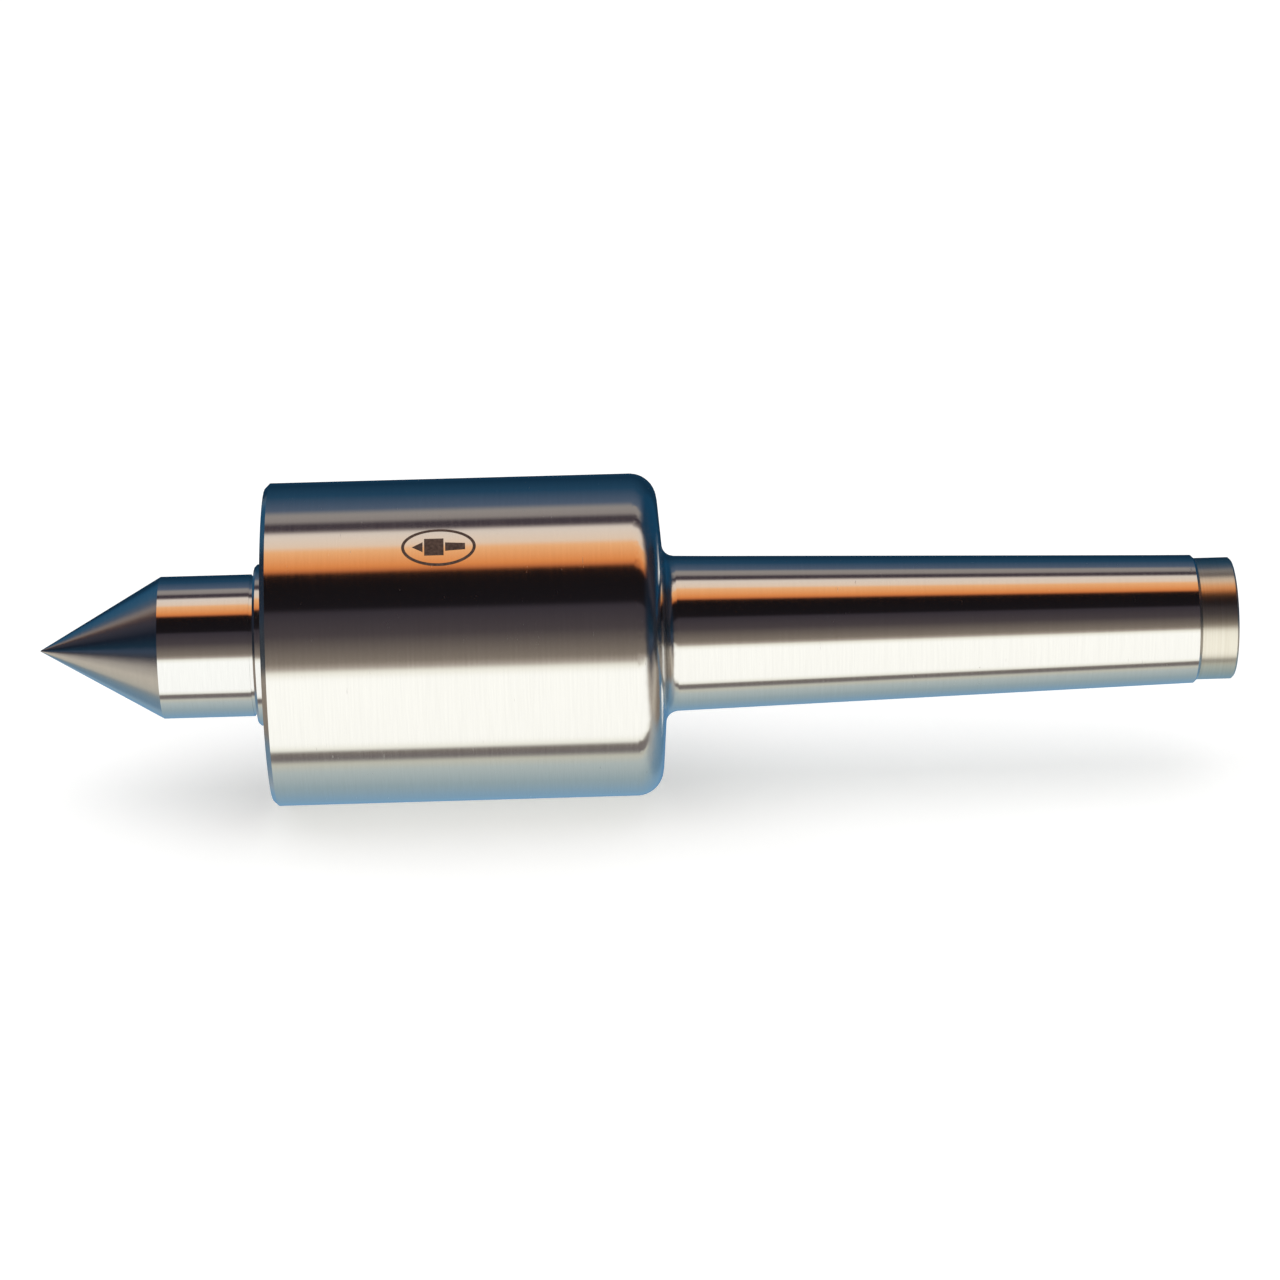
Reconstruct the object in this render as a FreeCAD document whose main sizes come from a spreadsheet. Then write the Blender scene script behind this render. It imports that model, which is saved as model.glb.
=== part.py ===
import FreeCAD, Part
import math
import operator
import os

import Sketcher
from FreeCAD import Vector

# A heavy-duty live center with a No. 4 Morse taper shank, as an assembly of separate pieces.
#
# The head and the shank are one forging. A hardened spindle with a 60 degree point turns in it on three
# bearings: a double-row angular-contact ball bearing at the front, a thrust ball bearing behind it that
# leans on two disc springs, and a needle bearing at the rear. A screwed cap with a shaft seal closes the
# front.
#
# Frame: +X runs along the axis towards the tail of the shank, +Z is up, and the origin is on the axis at
# the taper's gauge line. Units are millimetres. Stations are distances behind the head's front face.

DRIVING_SIZES = {
    # outside of the head and shank
    "head_diameter": 65.0,
    "head_length": 79.45,
    "head_back_dish": 1.4,
    "head_edge_chamfer": 1.0,
    "head_back_fillet": 5.4,
    "neck_fillet": 2.5,
    "gauge_setback": 3.35,
    "gauge_diameter": 31.267,
    "taper_rate": 0.05194,
    "taper_length": 103.2,
    "taper_end_bevel": 0.65,
    "tail_diameter": 24.6,
    "tail_length": 7.35,
    "tail_chamfer": 0.4,
    # centre holes, and the 60 degree angle that they share with the point
    "centre_half_angle": 30.0,
    "drill_half_angle": 59.0,
    "tail_centre_mouth": 8.5,
    "tail_centre_pilot": 4.0,
    "spindle_centre_mouth": 6.0,
    "spindle_centre_pilot": 2.5,
    "centre_pilot_depth": 4.0,
    # outside of the spindle
    "tip_land": 0.2,
    "nose_diameter": 28.575,
    "nose_length": 19.0,
    "relief_width": 0.8,
    "relief_depth": 0.3,
    "shoulder_diameter": 32.5,
    "shoulder_proud": 2.6,
    "spindle_chamfer": 0.5,
    # front cap and its seal
    "cap_recess": 0.4,
    "cap_width": 10.6,
    "cap_seat_diameter": 57.5,
    "cap_seat_depth": 4.4,
    "cap_seat_clearance": 0.05,
    "cap_flange": 3.9,
    "cap_thread_diameter": 56.0,
    "cap_thread_end": 9.4,
    "cap_pilot": 2.0,
    "cap_lip": 2.6,
    "cap_bore_clearance": 0.25,
    "thread_relief": 0.5,
    "spanner_hole_diameter": 3.5,
    "spanner_circle": 49.6,
    "spanner_hole_depth": 5.0,
    "ring_section": 1.6,
    "ring_groove_width": 2.0,
    "ring_groove_start": 1.0,
    "seal_diameter": 45.0,
    "seal_width": 6.0,
    "seal_case_wall": 0.8,
    "seal_flange_gap": 2.35,
    "seal_lip_gap": 0.05,
    "seal_lip_height": 2.1,
    "garter_station": 3.7,
    "garter_section": 1.2,
    # screw that locks the cap
    "lock_screw_diameter": 4.0,
    "lock_screw_length": 3.2,
    "lock_screw_socket": 2.0,
    "lock_screw_station": 6.9,
    "lock_pad_diameter": 3.6,
    "lock_pad_length": 1.0,
    # front bearing
    "bearing_bore": 25.0,
    "bearing_diameter": 52.0,
    "bearing_width": 20.6,
    "bearing_ball": 7.938,
    "bearing_row_offset": 5.05,
    "bearing_chamfer": 0.6,
    "race_clearance": 0.05,
    "inner_high_land": 35.2,
    "inner_low_land": 33.2,
    "outer_high_land": 42.4,
    "outer_low_land": 44.4,
    "row_cage_wall": 1.7,
    "row_cage_outboard": 4.9,
    "row_cage_inboard": 1.6,
    "pocket_clearance": 0.13,
    # locknut and its tab washer
    "nut_bay_diameter": 44.0,
    "nut_bay_length": 9.8,
    "nut_diameter": 38.0,
    "nut_width": 7.0,
    "nut_slot_width": 5.0,
    "nut_slot_depth": 2.0,
    "washer_thickness": 1.25,
    "washer_diameter": 32.0,
    "washer_reach": 40.0,
    "washer_tab_width": 4.0,
    "washer_overlap": 0.5,
    "washer_play": 0.15,
    "tab_length": 4.5,
    "keyway_width": 5.0,
    "keyway_floor": 10.2,
    "washer_tongue_width": 4.6,
    # thrust bearing and disc springs
    "thrust_bay_diameter": 35.6,
    "thrust_bore": 20.0,
    "thrust_housing_bore": 21.0,
    "thrust_diameter": 35.0,
    "thrust_shaft_diameter": 34.8,
    "thrust_height": 10.0,
    "thrust_washer": 3.0,
    "thrust_ball": 5.556,
    "thrust_cage_width": 2.2,
    "thrust_cage_inside": 21.8,
    "thrust_cage_outside": 33.6,
    "disc_inside": 22.0,
    "disc_outside": 34.4,
    "disc_thickness": 1.0,
    "disc_cone": 0.7,
    "disc_gap": 0.02,
    # needle bearing
    "needle_bore_length": 19.0,
    "needle_setback": 1.0,
    "needle_cup_diameter": 21.0,
    "needle_cup_length": 16.0,
    "needle_cup_wall": 0.8,
    "needle_cup_mouth": 16.8,
    "needle_journal": 15.0,
    "needle_clearance": 0.03,
    "needle_diameter": 2.0,
    "needle_length": 12.6,
    "needle_end_round": 0.3,
    "needle_cage_inside": 16.7,
    "needle_cage_outside": 18.5,
    "needle_cage_length": 14.2,
    "needle_pocket_play": 0.1,
    "spindle_end_gap": 1.3,
}

SPANNER_HOLES = 4
NUT_SLOTS = 4
WASHER_TABS = 13
ROW_BALLS = 12
THRUST_BALLS = 13
NEEDLES = 16

OPERATIONS = {"+": operator.add, "-": operator.sub, "*": operator.mul, "/": operator.truediv}


class Size:
    """A number from the sheet, or one worked out from others. It carries its formula for setExpression."""

    def __init__(self, value, formula):
        self.value = value
        self.formula = formula

    def __add__(self, other):
        return combined(self, "+", other)

    def __radd__(self, other):
        return combined(other, "+", self)

    def __sub__(self, other):
        return combined(self, "-", other)

    def __rsub__(self, other):
        return combined(other, "-", self)

    def __mul__(self, other):
        return combined(self, "*", other)

    def __rmul__(self, other):
        return combined(other, "*", self)

    def __truediv__(self, other):
        return combined(self, "/", other)


def as_size(number):
    return number if isinstance(number, Size) else Size(float(number), str(float(number)))


def combined(left, sign, right):
    left, right = as_size(left), as_size(right)
    return Size(OPERATIONS[sign](left.value, right.value), f"({left.formula} {sign} {right.formula})")


def tangent(degrees):
    return Size(math.tan(math.radians(degrees.value)), f"tan({degrees.formula} * 1 deg)")


class Sizes:
    """The spreadsheet: each driving size is a cell with an alias, and an attribute here."""

    def __init__(self, document, driving_sizes):
        self.sheet = document.addObject("Spreadsheet::Sheet", "Sizes")
        for row, (alias, value) in enumerate(driving_sizes.items(), start=1):
            self.sheet.set(f"A{row}", alias)
            self.sheet.set(f"B{row}", str(value))
            self.sheet.setAlias(f"B{row}", alias)
            setattr(self, alias, Size(value, f"Sizes.{alias}"))


doc = FreeCAD.newDocument("LiveCenter")
s = Sizes(doc, DRIVING_SIZES)
doc.recompute()

# Stations that several pieces share, behind the head's front face
gauge_line = s.head_length + s.gauge_setback
bearing_front = s.cap_recess + s.cap_width
bearing_back = bearing_front + s.bearing_width
thrust_front = bearing_back + s.nut_bay_length
thrust_back = thrust_front + s.thrust_height
disc_height = s.disc_thickness + s.disc_cone
disc_bay_end = thrust_back + 2 * disc_height + s.disc_gap
needle_front = disc_bay_end + s.needle_setback
needle_bore_end = disc_bay_end + s.needle_bore_length
spindle_end = needle_bore_end - s.spindle_end_gap

# Radii that several pieces share
shoulder_radius = s.shoulder_diameter / 2
bearing_ball_radius = s.bearing_ball / 2
bearing_pitch_radius = (s.bearing_bore + s.bearing_diameter) / 4
thrust_ball_radius = s.thrust_ball / 2
thrust_pitch_radius = (s.thrust_bore + s.thrust_diameter) / 4
needle_pitch_radius = s.needle_journal / 2 + s.needle_clearance + s.needle_diameter / 2
needle_race_radius = needle_pitch_radius + s.needle_diameter / 2 + s.needle_clearance


# ---- How a piece is made -------------------------------------------------------------------------------


def bind(thing, path, size):
    thing.setExpression(path, as_size(size).formula)


def new_body(label, station):
    """A PartDesign body whose local X starts at that station."""
    body = doc.addObject("PartDesign::Body", label)
    body.Label = label
    bind(body, "Placement.Base.x", station - gauge_line)
    return body


def origin_feature(body, role):
    return next(f for f in body.Origin.OriginFeatures if f.Role == role)


def new_sketch(body, name, plane="XY_Plane"):
    sketch = body.newObject("Sketcher::SketchObject", name)
    sketch.AttachmentSupport = [(origin_feature(body, plane), "")]
    sketch.MapMode = "FlatFace"
    return sketch


def fix_point(sketch, geometry, corner, x, y):
    """Ties a point of the sketch to its two distances from the sketch's origin."""
    for kind, own_axis, distance in (("DistanceX", -2, x), ("DistanceY", -1, y)):
        distance = as_size(distance)
        if distance.value == 0:
            sketch.addConstraint(Sketcher.Constraint("PointOnObject", geometry, corner, own_axis))
        else:
            rule = Sketcher.Constraint(kind, -1, 1, geometry, corner, distance.value)
            bind(sketch, f"Constraints[{sketch.addConstraint(rule)}]", distance)


def draw_outline(sketch, corners):
    """A closed outline of straight runs through the corners, each an (x, y) pair of sizes."""
    points = [Vector(as_size(x).value, as_size(y).value, 0) for x, y in corners]
    count = len(points)
    for i in range(count):
        sketch.addGeometry(Part.LineSegment(points[i], points[(i + 1) % count]), False)
    for i, (x, y) in enumerate(corners):
        sketch.addConstraint(Sketcher.Constraint("Coincident", i, 2, (i + 1) % count, 1))
        fix_point(sketch, i, 1, x, y)


def draw_circle(sketch, x, y, radius):
    centre = Vector(as_size(x).value, as_size(y).value, 0)
    circle = sketch.addGeometry(Part.Circle(centre, Vector(0, 0, 1), radius.value), False)
    fix_point(sketch, circle, 3, x, y)
    rule = Sketcher.Constraint("Radius", circle, radius.value)
    bind(sketch, f"Constraints[{sketch.addConstraint(rule)}]", radius)


def rectangle(x_low, x_high, y_low, y_high):
    return [(x_low, y_low), (x_high, y_low), (x_high, y_high), (x_low, y_high)]


def revolve(body, sketch, name, kind="PartDesign::Revolution"):
    """Turns the sketch a full turn about its own X axis."""
    feature = body.newObject(kind, name)
    feature.Profile = sketch
    feature.ReferenceAxis = (sketch, ["H_Axis"])
    feature.Angle = 360
    sketch.Visibility = False
    doc.recompute()
    return feature


def turned(label, station, corners):
    """A lathe-turned piece: corners is its half section, as (distance along the axis, radius)."""
    body = new_body(label, station)
    sketch = new_sketch(body, f"{label}_section")
    draw_outline(sketch, corners)
    revolve(body, sketch, f"{label}_turned")
    return body


def turned_ring(label, station, x, ring_radius, section_radius):
    """A ring of round section, such as an O-ring."""
    body = new_body(label, station)
    sketch = new_sketch(body, f"{label}_section")
    draw_circle(sketch, x, ring_radius, section_radius)
    revolve(body, sketch, f"{label}_turned")
    return body


def groove_ball_track(body, x, pitch_radius, section_radius):
    """Cuts a round-bottomed track about the axis."""
    before = body.Shape.Volume
    sketch = new_sketch(body, "track_section")
    draw_circle(sketch, x, pitch_radius, section_radius)
    revolve(body, sketch, "track", "PartDesign::Groove")
    must_shrink(body, before)


def must_shrink(body, before):
    if not body.Shape.Volume < before - 1e-3:
        raise RuntimeError(f"a cut in {body.Label} removed nothing")


def pocket(body, sketch, length, reverse=False):
    """Cuts the sketch to that depth: towards minus its plane's normal, or plus it when reversed."""
    before = body.Shape.Volume
    feature = body.newObject("PartDesign::Pocket", "pocket")
    feature.Profile = sketch
    feature.Type = "Length"
    feature.Reversed = reverse
    bind(feature, "Length", length)
    sketch.Visibility = False
    doc.recompute()
    must_shrink(body, before)
    return feature


def repeat_round_axis(body, feature, occurrences, sweep=360.0):
    """Repeats a feature about X. A sweep of less than a full turn is from the first copy to the last."""
    pattern = body.newObject("PartDesign::PolarPattern", "pattern")
    pattern.Originals = [feature]
    pattern.Axis = (origin_feature(body, "X_Axis"), [""])
    pattern.Angle = sweep
    pattern.Occurrences = occurrences
    body.Tip = pattern
    doc.recompute()
    return pattern


def round_edge(body, kind, size_property, size, x, radius):
    """Fillets or chamfers the circular edge at that distance along the axis and that radius."""
    x, radius = as_size(x).value, as_size(radius).value

    def is_wanted(edge):
        circle = edge.Curve
        if not isinstance(circle, Part.Circle):
            return False
        return abs(circle.Center.x - x) < 1e-4 and abs(circle.Radius - radius) < 1e-4

    tip = body.Tip
    wanted = [f"Edge{i}" for i, edge in enumerate(tip.Shape.Edges, start=1) if is_wanted(edge)]
    if len(wanted) != 1:
        raise RuntimeError(f"{body.Label}: {len(wanted)} edges at {x}, radius {radius}")
    feature = body.newObject(kind, "edge_finish")
    feature.Base = (tip, wanted)
    bind(feature, size_property, size)
    doc.recompute()


def fillet(body, size, x, radius):
    round_edge(body, "PartDesign::Fillet", "Radius", size, x, radius)


def chamfer(body, size, x, radius):
    round_edge(body, "PartDesign::Chamfer", "Size", size, x, radius)


# ---- Head and shank: one forging, bored from the front and ground outside ------------------------------


def head_and_shank():
    head_radius = s.head_diameter / 2
    neck_radius = (s.gauge_diameter + s.gauge_setback * s.taper_rate) / 2
    back_edge = s.head_length - s.head_back_dish
    taper_end = gauge_line + s.taper_length
    taper_end_radius = (s.gauge_diameter - s.taper_length * s.taper_rate) / 2
    tail_radius = s.tail_diameter / 2
    tail_start = taper_end + s.taper_end_bevel
    tail_end = tail_start + s.tail_length

    needle_radius = s.needle_cup_diameter / 2
    drill_tip = needle_bore_end + needle_radius / tangent(s.drill_half_angle)
    thread_radius = s.cap_thread_diameter / 2
    relief_radius = thread_radius + s.thread_relief
    relief_end = bearing_front - s.cap_recess

    mouth_radius = s.tail_centre_mouth / 2
    pilot_radius = s.tail_centre_pilot / 2
    mouth_bottom = tail_end - (mouth_radius - pilot_radius) / tangent(s.centre_half_angle)
    pilot_bottom = mouth_bottom - s.centre_pilot_depth
    pilot_tip = pilot_bottom - pilot_radius / tangent(s.drill_half_angle)

    body = turned(
        "head_and_shank",
        as_size(0),
        [
            (drill_tip, 0),
            (needle_bore_end, needle_radius),
            (disc_bay_end, needle_radius),
            (disc_bay_end, s.thrust_bay_diameter / 2),
            (thrust_front, s.thrust_bay_diameter / 2),
            (thrust_front, s.nut_bay_diameter / 2),
            (bearing_back, s.nut_bay_diameter / 2),
            (bearing_back, s.bearing_diameter / 2),
            (relief_end, s.bearing_diameter / 2),
            (relief_end, relief_radius),
            (s.cap_thread_end, relief_radius),
            (s.cap_thread_end, thread_radius),
            (s.cap_seat_depth, thread_radius),
            (s.cap_seat_depth, s.cap_seat_diameter / 2),
            (0, s.cap_seat_diameter / 2),
            (0, head_radius),
            (back_edge, head_radius),
            (s.head_length, neck_radius),
            (taper_end, taper_end_radius),
            (tail_start, tail_radius),
            (tail_end, tail_radius),
            (tail_end, mouth_radius),
            (mouth_bottom, pilot_radius),
            (pilot_bottom, pilot_radius),
            (pilot_tip, 0),
        ],
    )
    fillet(body, s.head_back_fillet, back_edge, head_radius)
    fillet(body, s.neck_fillet, s.head_length, neck_radius)
    chamfer(body, s.head_edge_chamfer, 0, head_radius)
    chamfer(body, s.tail_chamfer, tail_end, tail_radius)

    # tapped hole for the lock screw, on the +Y side
    sketch = new_sketch(body, "lock_hole_section", "XZ_Plane")
    draw_circle(sketch, s.lock_screw_station, 0, s.lock_screw_diameter / 2)
    pocket(body, sketch, s.head_diameter)
    return body


# ---- Front cap, its O-ring, the shaft seal and the screw that locks the cap ----------------------------


def front_cap():
    bore_radius = shoulder_radius + s.cap_bore_clearance
    flange_radius = s.cap_seat_diameter / 2 - s.cap_seat_clearance
    groove_floor = s.cap_seat_diameter / 2 - s.ring_section
    groove_end = s.ring_groove_start + s.ring_groove_width
    pilot_start = s.cap_width - s.cap_pilot
    pilot_radius = s.bearing_diameter / 2 - s.cap_seat_clearance
    body = turned(
        "front_cap",
        s.cap_recess,
        [
            (0, bore_radius),
            (0, flange_radius),
            (s.ring_groove_start, flange_radius),
            (s.ring_groove_start, groove_floor),
            (groove_end, groove_floor),
            (groove_end, flange_radius),
            (s.cap_flange, flange_radius),
            (s.cap_flange, s.cap_thread_diameter / 2),
            (pilot_start, s.cap_thread_diameter / 2),
            (pilot_start, pilot_radius),
            (s.cap_width, pilot_radius),
            (s.cap_width, s.seal_diameter / 2),
            (s.cap_lip, s.seal_diameter / 2),
            (s.cap_lip, bore_radius),
        ],
    )
    chamfer(body, s.tail_chamfer, 0, bore_radius)
    chamfer(body, s.tail_chamfer, 0, flange_radius)
    sketch = new_sketch(body, "spanner_hole_section", "YZ_Plane")
    draw_circle(sketch, s.spanner_circle / 2, 0, s.spanner_hole_diameter / 2)
    hole = pocket(body, sketch, s.spanner_hole_depth, reverse=True)
    repeat_round_axis(body, hole, SPANNER_HOLES)
    return body


def cap_o_ring():
    middle = s.ring_groove_start + s.ring_groove_width / 2
    ring_radius = s.cap_seat_diameter / 2 - s.ring_section / 2
    return turned_ring("cap_o_ring", s.cap_recess, middle, ring_radius, s.ring_section / 2)


def seal_case():
    """The pressed steel case: a sleeve in the cap's pocket with a flange turned in at the front."""
    outside = s.seal_diameter / 2
    inside = outside - s.seal_case_wall
    flange_radius = shoulder_radius + s.seal_flange_gap
    return turned(
        "seal_case",
        s.cap_recess + s.cap_lip,
        [
            (0, flange_radius),
            (0, outside),
            (s.seal_width, outside),
            (s.seal_width, inside),
            (s.seal_case_wall, inside),
            (s.seal_case_wall, flange_radius),
        ],
    )


def seal_lip():
    """The rubber: it grips the case's flange, with a dust lip in front and the sealing lip behind."""
    lip = shoulder_radius + s.seal_lip_gap
    flange_radius = shoulder_radius + s.seal_flange_gap
    return turned(
        "seal_lip",
        s.cap_recess + s.cap_lip,
        [
            (0.05, flange_radius),
            (0.05, lip + 0.25),
            (0.3, lip),
            (0.6, lip),
            (1.3, lip + 0.8),
            (2.6, lip + 0.9),
            (3.6, lip),
            (3.8, lip),
            (5.2, lip + 1.5),
            (5.2, lip + 2.9),
            (4.9, lip + 2.9),
            (4.4, lip + s.seal_lip_height),
            (3.0, lip + s.seal_lip_height),
            (2.5, lip + 2.9),
            (2.1, lip + 2.9),
            (1.5, lip + 1.9),
            (s.seal_case_wall, lip + 1.9),
            (s.seal_case_wall, flange_radius),
        ],
    )


def seal_garter_spring():
    """The closed coil spring that keeps the lip on the shaft, as the ring that its coils fill."""
    wire_radius = s.garter_section / 2
    ring_radius = shoulder_radius + s.seal_lip_gap + s.seal_lip_height + wire_radius
    station = s.cap_recess + s.cap_lip
    return turned_ring("seal_garter_spring", station, s.garter_station, ring_radius, wire_radius)


def screw_on_plus_y(label, inner_radius, diameter, length):
    """A short cylinder along +Y in the lock screw's hole, starting at that distance from the axis."""
    body = new_body(label, s.lock_screw_station)
    sketch = new_sketch(body, f"{label}_section", "XZ_Plane")
    bind(sketch, "AttachmentOffset.Base.z", 0 - inner_radius)
    draw_circle(sketch, 0, 0, diameter / 2)
    pad = body.newObject("PartDesign::Pad", f"{label}_pad")
    pad.Profile = sketch
    pad.Reversed = True
    bind(pad, "Length", length)
    doc.recompute()
    return body


def cap_lock_screw():
    """A grub screw with a hexagon socket. It presses a soft pad onto the cap's thread."""
    start = s.cap_thread_diameter / 2 + s.lock_pad_length
    body = screw_on_plus_y("cap_lock_screw", start, s.lock_screw_diameter, s.lock_screw_length)
    flat = s.lock_screw_socket / 2
    corner = flat / math.cos(math.radians(30))
    sketch = new_sketch(body, "socket_section", "XZ_Plane")
    bind(sketch, "AttachmentOffset.Base.z", 0 - (start + s.lock_screw_length))
    draw_outline(
        sketch,
        [
            (corner, 0),
            (corner / 2, flat),
            (0 - corner / 2, flat),
            (0 - corner, 0),
            (0 - corner / 2, 0 - flat),
            (corner / 2, 0 - flat),
        ],
    )
    pocket(body, sketch, s.lock_screw_socket, reverse=True)
    return body


def cap_lock_pad():
    return screw_on_plus_y(
        "cap_lock_pad", s.cap_thread_diameter / 2, s.lock_pad_diameter, s.lock_pad_length
    )


# ---- Spindle: hardened and ground, with the 60 degree point --------------------------------------------


def center_spindle():
    nose_radius = s.nose_diameter / 2
    land_radius = s.tip_land / 2
    cone_end = (nose_radius - land_radius) / tangent(s.centre_half_angle)
    shoulder_front = cone_end + s.nose_length
    relief_radius = nose_radius - s.relief_depth

    front_face = shoulder_front + s.shoulder_proud
    journal_start = front_face + bearing_front
    thrust_shoulder = front_face + thrust_front
    needle_start = front_face + disc_bay_end - s.disc_gap
    end = front_face + spindle_end
    journal_radius = s.bearing_bore / 2
    thrust_radius = s.thrust_bore / 2
    needle_radius = s.needle_journal / 2
    journal_relief = journal_radius - s.relief_depth
    thrust_relief = thrust_radius - s.relief_depth

    mouth_radius = s.spindle_centre_mouth / 2
    pilot_radius = s.spindle_centre_pilot / 2
    mouth_bottom = end - (mouth_radius - pilot_radius) / tangent(s.centre_half_angle)
    pilot_bottom = mouth_bottom - s.centre_pilot_depth
    pilot_tip = pilot_bottom - pilot_radius / tangent(s.drill_half_angle)

    body = turned(
        "center_spindle",
        0 - front_face,
        [
            (0, 0),
            (0, land_radius),
            (cone_end, nose_radius),
            (shoulder_front - s.relief_width, nose_radius),
            (shoulder_front - s.relief_width, relief_radius),
            (shoulder_front, relief_radius),
            (shoulder_front, shoulder_radius),
            (journal_start, shoulder_radius),
            (journal_start, journal_relief),
            (journal_start + s.relief_width, journal_relief),
            (journal_start + s.relief_width, journal_radius),
            (thrust_shoulder, journal_radius),
            (thrust_shoulder, thrust_relief),
            (thrust_shoulder + s.relief_width, thrust_relief),
            (thrust_shoulder + s.relief_width, thrust_radius),
            (needle_start, thrust_radius),
            (needle_start, needle_radius),
            (end, needle_radius),
            (end, mouth_radius),
            (mouth_bottom, pilot_radius),
            (pilot_bottom, pilot_radius),
            (pilot_tip, 0),
        ],
    )
    chamfer(body, s.spindle_chamfer, shoulder_front, shoulder_radius)
    chamfer(body, s.spindle_chamfer, end, needle_radius)

    # keyway along the thread, for the tab washer's tongue
    sketch = new_sketch(body, "keyway_section")
    half_width = s.keyway_width / 2
    keyway_start = front_face + bearing_back
    draw_outline(sketch, rectangle(keyway_start, thrust_shoulder, 0 - half_width, half_width))
    bind(sketch, "AttachmentOffset.Base.z", s.keyway_floor)
    pocket(body, sketch, journal_radius, reverse=True)
    return body


# ---- Front bearing: double-row angular contact, the two rows leaning outwards --------------------------

front_row = s.bearing_width / 2 - s.bearing_row_offset
rear_row = s.bearing_width / 2 + s.bearing_row_offset
bearing_track_radius = bearing_ball_radius + s.race_clearance


def grooved_bearing_ring(label, corners, edges):
    body = turned(label, bearing_front, corners)
    for x, radius in edges:
        chamfer(body, s.bearing_chamfer, x, radius)
    for row in (front_row, rear_row):
        groove_ball_track(body, row, bearing_pitch_radius, bearing_track_radius)
    return body


def front_bearing_inner_ring():
    """High lands at the two ends carry the thrust, and the land between the rows is low."""
    bore, high, low = s.bearing_bore / 2, s.inner_high_land / 2, s.inner_low_land / 2
    corners = [
        (0, bore),
        (0, high),
        (front_row, high),
        (front_row, low),
        (rear_row, low),
        (rear_row, high),
        (s.bearing_width, high),
        (s.bearing_width, bore),
    ]
    return grooved_bearing_ring(
        "front_bearing_inner_ring", corners, [(0, bore), (s.bearing_width, bore)]
    )


def front_bearing_outer_ring():
    """The thick land is in the middle, between the rows."""
    outside, high, low = s.bearing_diameter / 2, s.outer_high_land / 2, s.outer_low_land / 2
    corners = [
        (0, low),
        (0, outside),
        (s.bearing_width, outside),
        (s.bearing_width, low),
        (rear_row, low),
        (rear_row, high),
        (front_row, high),
        (front_row, low),
    ]
    return grooved_bearing_ring(
        "front_bearing_outer_ring", corners, [(0, outside), (s.bearing_width, outside)]
    )


def ball_ring(label, station, pitch_radius, ball_radius, count):
    """A ring of balls, as separate solids in one body. The first stands straight above the axis."""
    body = new_body(label, station)
    ball = body.newObject("PartDesign::AdditiveSphere", f"{label}_first")
    bind(ball, "Radius", ball_radius)
    bind(ball, "AttachmentOffset.Base.z", pitch_radius)
    ball.AttachmentSupport = [(origin_feature(body, "XY_Plane"), "")]
    ball.MapMode = "FlatFace"
    doc.recompute()
    repeat_round_axis(body, ball, count)
    return body


def bearing_row_cage(label, row, body_towards):
    """A crown cage: its web is on the outboard side, and its pockets are open towards the other row."""
    outboard = row + body_towards * s.row_cage_outboard
    inboard = row - body_towards * s.row_cage_inboard
    low, high = (outboard, inboard) if body_towards < 0 else (inboard, outboard)
    inside = bearing_pitch_radius - s.row_cage_wall / 2
    outside = bearing_pitch_radius + s.row_cage_wall / 2
    body = turned(label, bearing_front, rectangle(low, high, inside, outside))
    sketch = new_sketch(body, "pocket_section")
    draw_circle(sketch, row, 0, bearing_ball_radius + s.pocket_clearance)
    first = pocket(body, sketch, s.bearing_diameter)
    repeat_round_axis(body, first, ROW_BALLS)
    return body


# ---- Locknut and tab washer that hold the inner ring on the spindle ------------------------------------


def pad_block(body, name, corners, floor, height):
    """A block that stands above the XY plane, from that floor up."""
    sketch = new_sketch(body, f"{name}_section")
    draw_outline(sketch, corners)
    bind(sketch, "AttachmentOffset.Base.z", floor)
    block = body.newObject("PartDesign::Pad", name)
    block.Profile = sketch
    bind(block, "Length", height)
    doc.recompute()


def lock_washer():
    """A thin ring with tabs round it: one is bent into a slot of the nut. A tongue fits the keyway."""
    bore = s.bearing_bore / 2
    outside = s.washer_diameter / 2
    thickness = s.washer_thickness
    half_tab = s.washer_tab_width / 2
    half_tongue = s.washer_tongue_width / 2
    root = outside - s.washer_overlap
    tongue_floor = s.keyway_floor + s.washer_play
    body = turned("lock_washer", bearing_back, rectangle(0, thickness, bore, outside))

    # the bent tab runs flat out to the slot of the nut, then along the slot
    slot_floor = s.nut_diameter / 2 - s.nut_slot_depth
    bend = slot_floor + s.washer_play
    flat_part = rectangle(0, thickness, 0 - half_tab, half_tab)
    bent_part = rectangle(0, thickness + s.tab_length, 0 - half_tab, half_tab)
    pad_block(body, "bent_tab_root", flat_part, root, bend - root)
    pad_block(body, "bent_tab", bent_part, bend, thickness)

    # the tongue stands down from the bore into the keyway
    tongue = rectangle(0, thickness, 0 - half_tongue, half_tongue)
    pad_block(body, "tongue", tongue, tongue_floor, bore + s.washer_overlap - tongue_floor)

    # the flat tabs fill the other places round the ring
    pitch = 360.0 / WASHER_TABS
    sketch = new_sketch(body, "flat_tab_section", "YZ_Plane")
    draw_outline(sketch, rectangle(0 - half_tab, half_tab, root, s.washer_reach / 2))
    sketch.AttachmentOffset = FreeCAD.Placement(Vector(), FreeCAD.Rotation(Vector(0, 0, 1), pitch))
    first = body.newObject("PartDesign::Pad", "flat_tab")
    first.Profile = sketch
    bind(first, "Length", thickness)
    doc.recompute()
    repeat_round_axis(body, first, WASHER_TABS - 1, pitch * (WASHER_TABS - 2))
    return body


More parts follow.
